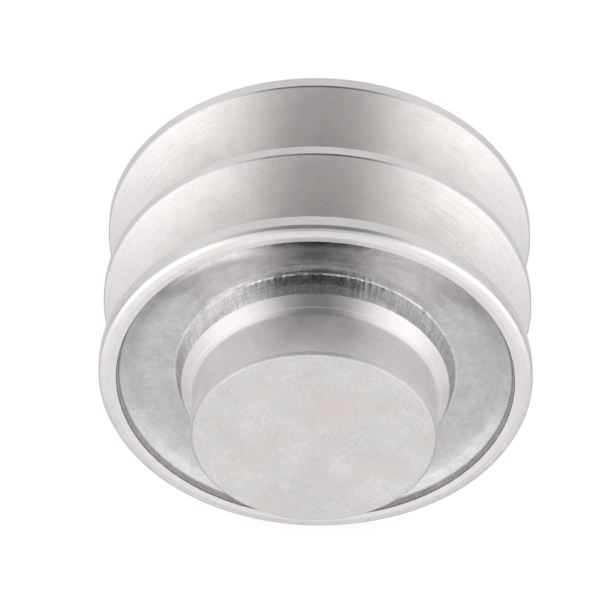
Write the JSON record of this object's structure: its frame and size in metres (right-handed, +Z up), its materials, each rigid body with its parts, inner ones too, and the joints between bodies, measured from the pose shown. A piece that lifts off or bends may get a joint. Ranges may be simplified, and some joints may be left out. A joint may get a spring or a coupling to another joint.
{
  "type": "v belt pulley",
  "caption": "Double-groove V belt idler pulley: turned cast sheave with a closed front boss, running on sealed ball bearings on a short captive axle tapped at its rear end.",
  "frame": {"origin": "on the axis of rotation, midway between the two belt grooves", "axes": "Y is the axis of rotation: the closed boss points to -Y and the mounting side to +Y; +Z is up"},
  "size_m": [0.0684, 0.0503, 0.0684],
  "materials": {
    "sheave": "turned rim, grooves and boss; as-cast web and hub wall",
    "bearing_steel": "ground and honed bearing steel",
    "balls": "lapped and polished",
    "cage": "natural moulded polyamide",
    "seal": "black nitrile rubber, moulded rings",
    "spacer": "turned steel tube, faced ends",
    "shim": "punched spring-steel shim",
    "spring_steel": "phosphated and oiled spring steel",
    "axle": "turned and ground steel, clear zinc plating on the collar and flange",
    "dust_shield": "pressed zinc-plated sheet"
  },
  "bodies": {
    "axle": {"axle": "axle", "axle_shim": "shim", "axle_circlip": "spring_steel", "front_inner_ring": "bearing_steel", "rear_inner_ring": "bearing_steel", "inner_spacer": "spacer", "dust_shield": "dust_shield"},
    "sheave": {"sheave": "sheave", "front_outer_ring": "bearing_steel", "rear_outer_ring": "bearing_steel", "outer_spacer": "spacer", "bearing_shim": "shim", "bore_circlip": "spring_steel", "front_bearing_nose_seal": "seal", "front_bearing_inboard_seal": "seal", "rear_bearing_inboard_seal": "seal", "rear_bearing_mount_seal": "seal"},
    "front_cage_set": {"front_cage": "cage", "front_balls": "balls"},
    "rear_cage_set": {"rear_cage": "cage", "rear_balls": "balls"}
  },
  "joints": [
    {"name": "sheave_spin", "type": "hinge", "parent": "axle", "child": "sheave", "pos_m": [0, 0, 0], "axis": [0, 1, 0], "continuous": true},
    {"name": "front_cage_orbit", "type": "hinge", "parent": "axle", "child": "front_cage_set", "pos_m": [0, -0.0145, 0], "axis": [0, 1, 0], "continuous": true},
    {"name": "rear_cage_orbit", "type": "hinge", "parent": "axle", "child": "rear_cage_set", "pos_m": [0, 0.0075, 0], "axis": [0, 1, 0], "continuous": true}
  ],
  "couplings": [
    {"joint": "front_cage_orbit", "follows": "sheave_spin", "ratio": 0.63527},
    {"joint": "rear_cage_orbit", "follows": "sheave_spin", "ratio": 0.63527}
  ]
}
